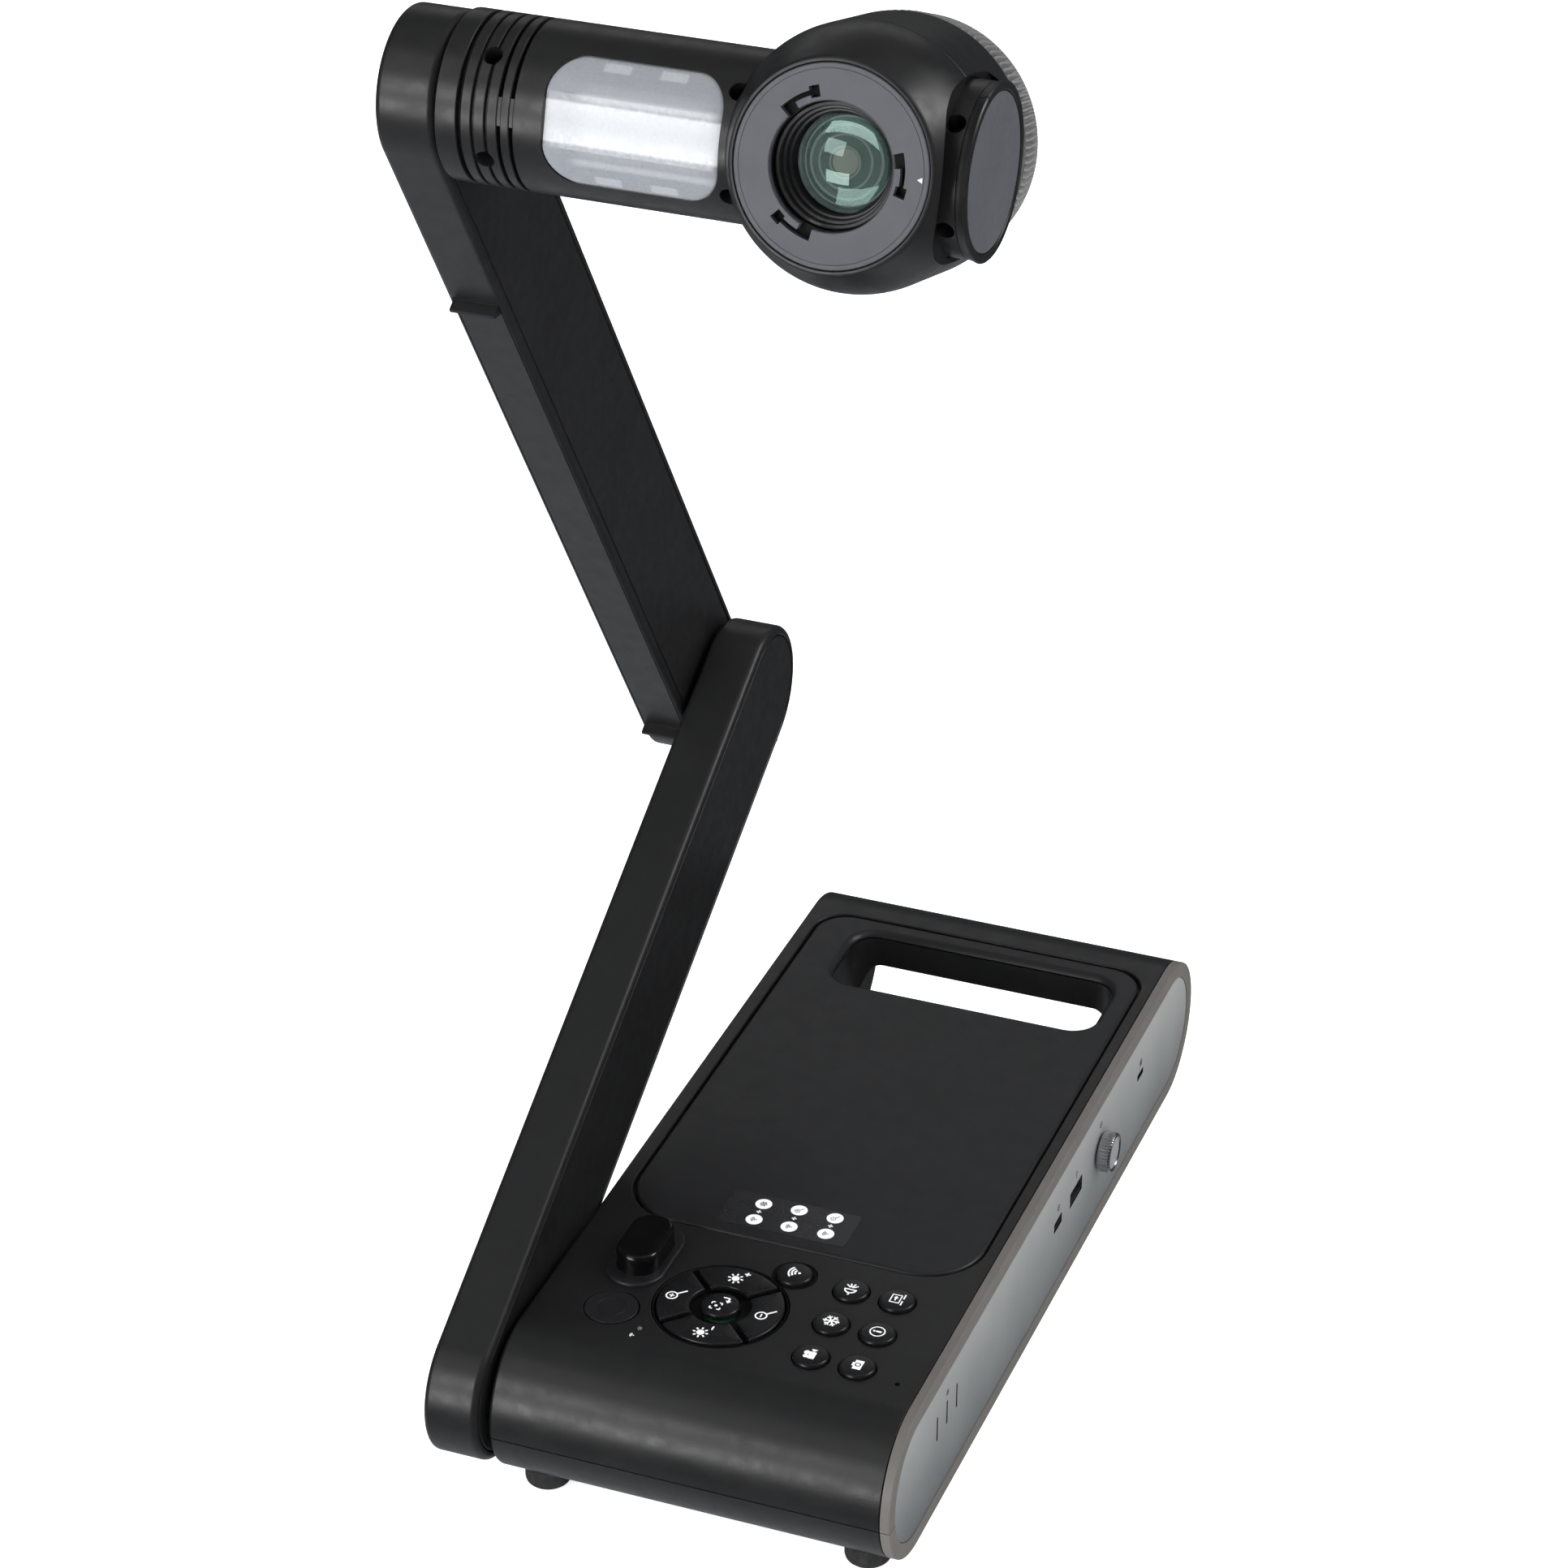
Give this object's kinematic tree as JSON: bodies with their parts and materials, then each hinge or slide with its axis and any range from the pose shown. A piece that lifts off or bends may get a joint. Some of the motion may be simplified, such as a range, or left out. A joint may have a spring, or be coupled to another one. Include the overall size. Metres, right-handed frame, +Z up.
{
  "type": "document camera",
  "caption": "Desktop document camera: a flat keyed base with a carrying handle, two folding arms and a lamp tube that carries a turning camera head.",
  "frame": {"origin": "middle of the whole object's footprint, on the table under the feet", "axes": "+X to the right, +Y to the back, +Z up; the keys and the lens face -Y, the arms stand on the left of the base"},
  "size_m": [0.203, 0.3672, 0.5567],
  "materials": {
    "black_plastic": "satin",
    "deck_plastic": "matte",
    "key_rubber": "satin",
    "ir_acrylic": "gloss",
    "face_grey": "matte",
    "bezel_taupe": "matte",
    "panel_silver": "satin",
    "chrome": "polished",
    "steel": "brushed",
    "brass": "machined",
    "circuit_board": "satin",
    "foot_rubber": "matte",
    "label_film": "satin",
    "lens_glass": "polished",
    "diffuser": "satin",
    "ring_grey": "matte"
  },
  "bodies": {
    "base": {"base_upper_shell": "black_plastic", "base_lower_shell": "black_plastic", "deck_panel": "deck_plastic", "side_bezel": "bezel_taupe", "side_panel": "panel_silver", "nav_bezel": "deck_plastic", "io_panel": "deck_plastic", "foot_1": "foot_rubber", "foot_2": "foot_rubber", "foot_3": "foot_rubber", "foot_4": "foot_rubber", "usb_socket": "steel", "sync_socket": "steel", "hdmi_socket": "steel", "usb_b_socket": "steel", "dc_inlet": "ir_acrylic", "ballast_plate": "steel", "main_board": "circuit_board", "keypad_board": "circuit_board", "hinge_bush": "brass", "ir_flange": "deck_plastic", "ir_window": "ir_acrylic", "status_led": "diffuser", "quick_label": "label_film"},
    "lower_arm": {"lower_arm_shell": "black_plastic", "lower_arm_side_cover": "black_plastic", "lower_arm_cable_cover": "black_plastic", "base_shaft": "steel"},
    "upper_arm": {"upper_arm_shell": "black_plastic", "upper_arm_side_cover": "black_plastic", "upper_arm_cable_cover": "black_plastic", "elbow_shaft": "steel", "neck_collar": "black_plastic"},
    "head": {"head_body": "black_plastic", "head_rear_cover": "black_plastic", "end_cap": "black_plastic", "end_cap_disc": "face_grey", "front_plate": "face_grey", "lamp_diffuser": "diffuser", "lamp_board": "circuit_board", "neck_shaft": "steel"},
    "lens_turret": {"rotation_ring": "ring_grey", "lens_barrel": "black_plastic", "sensor_board": "circuit_board", "front_glass": "lens_glass", "inner_glass": "lens_glass"},
    "side_knob": {"side_knob": "chrome"},
    "wifi_key": {"wifi_key": "key_rubber"},
    "lamp_key": {"lamp_key": "key_rubber"},
    "source_key": {"source_key": "key_rubber"},
    "freeze_key": {"freeze_key": "key_rubber"},
    "info_key": {"info_key": "key_rubber"},
    "record_key": {"record_key": "key_rubber"},
    "capture_key": {"capture_key": "key_rubber"},
    "power_key": {"power_key": "key_rubber"},
    "zoom_out_key": {"zoom_out_key": "key_rubber"},
    "brighter_key": {"brighter_key": "key_rubber"},
    "zoom_in_key": {"zoom_in_key": "key_rubber"},
    "darker_key": {"darker_key": "key_rubber"},
    "focus_key": {"focus_key": "key_rubber"}
  },
  "joints": [
    {"name": "base_hinge", "type": "hinge", "parent": "base", "child": "lower_arm", "pos_m": [-0.0579, -0.1568, 0.0391], "axis": [1, 0, 0], "range_deg": [-28, 45]},
    {"name": "elbow_hinge", "type": "hinge", "parent": "lower_arm", "child": "upper_arm", "pos_m": [-0.0807, 0.10799, 0.18557], "axis": [-1, 0, 0], "range_deg": [-84.5, 60]},
    {"name": "neck_hinge", "type": "hinge", "parent": "upper_arm", "child": "head", "pos_m": [-0.0714, -0.10141, 0.51186], "axis": [1, 0, 0], "range_deg": [-55, 110]},
    {"name": "lens_turn", "type": "hinge", "parent": "head", "child": "lens_turret", "pos_m": [0.0568, -0.13772, 0.522], "axis": [0, -0.9632, 0.2689], "range_deg": [-90, 90]},
    {"name": "side_knob_turn", "type": "hinge", "parent": "base", "child": "side_knob", "pos_m": [0.0959, 0.063, 0.0382], "axis": [1, 0, 0], "range_deg": [-150, 150]},
    {"name": "wifi_key_press", "type": "slide", "parent": "base", "child": "wifi_key", "axis": [0, 0, -1], "range_m": [0, 0.0008], "stiffness_N_per_m": 1200, "springref_m": -0.0003},
    {"name": "lamp_key_press", "type": "slide", "parent": "base", "child": "lamp_key", "axis": [0, 0, -1], "range_m": [0, 0.0008], "stiffness_N_per_m": 1200, "springref_m": -0.0003},
    {"name": "source_key_press", "type": "slide", "parent": "base", "child": "source_key", "axis": [0, 0, -1], "range_m": [0, 0.0008], "stiffness_N_per_m": 1200, "springref_m": -0.0003},
    {"name": "freeze_key_press", "type": "slide", "parent": "base", "child": "freeze_key", "axis": [0, 0, -1], "range_m": [0, 0.0008], "stiffness_N_per_m": 1200, "springref_m": -0.0003},
    {"name": "info_key_press", "type": "slide", "parent": "base", "child": "info_key", "axis": [0, 0, -1], "range_m": [0, 0.0008], "stiffness_N_per_m": 1200, "springref_m": -0.0003},
    {"name": "record_key_press", "type": "slide", "parent": "base", "child": "record_key", "axis": [0, 0, -1], "range_m": [0, 0.0008], "stiffness_N_per_m": 1200, "springref_m": -0.0003},
    {"name": "capture_key_press", "type": "slide", "parent": "base", "child": "capture_key", "axis": [0, 0, -1], "range_m": [0, 0.0008], "stiffness_N_per_m": 1200, "springref_m": -0.0003},
    {"name": "power_key_press", "type": "slide", "parent": "base", "child": "power_key", "axis": [0, 0, -1], "range_m": [0, 0.0008], "stiffness_N_per_m": 1200, "springref_m": -0.0003},
    {"name": "zoom_out_key_press", "type": "slide", "parent": "base", "child": "zoom_out_key", "axis": [0, 0, -1], "range_m": [0, 0.0008], "stiffness_N_per_m": 1200, "springref_m": -0.0003},
    {"name": "brighter_key_press", "type": "slide", "parent": "base", "child": "brighter_key", "axis": [0, 0, -1], "range_m": [0, 0.0008], "stiffness_N_per_m": 1200, "springref_m": -0.0003},
    {"name": "zoom_in_key_press", "type": "slide", "parent": "base", "child": "zoom_in_key", "axis": [0, 0, -1], "range_m": [0, 0.0008], "stiffness_N_per_m": 1200, "springref_m": -0.0003},
    {"name": "darker_key_press", "type": "slide", "parent": "base", "child": "darker_key", "axis": [0, 0, -1], "range_m": [0, 0.0008], "stiffness_N_per_m": 1200, "springref_m": -0.0003},
    {"name": "focus_key_press", "type": "slide", "parent": "base", "child": "focus_key", "axis": [0, 0, -1], "range_m": [0, 0.0008], "stiffness_N_per_m": 1200, "springref_m": -0.0003}
  ]
}
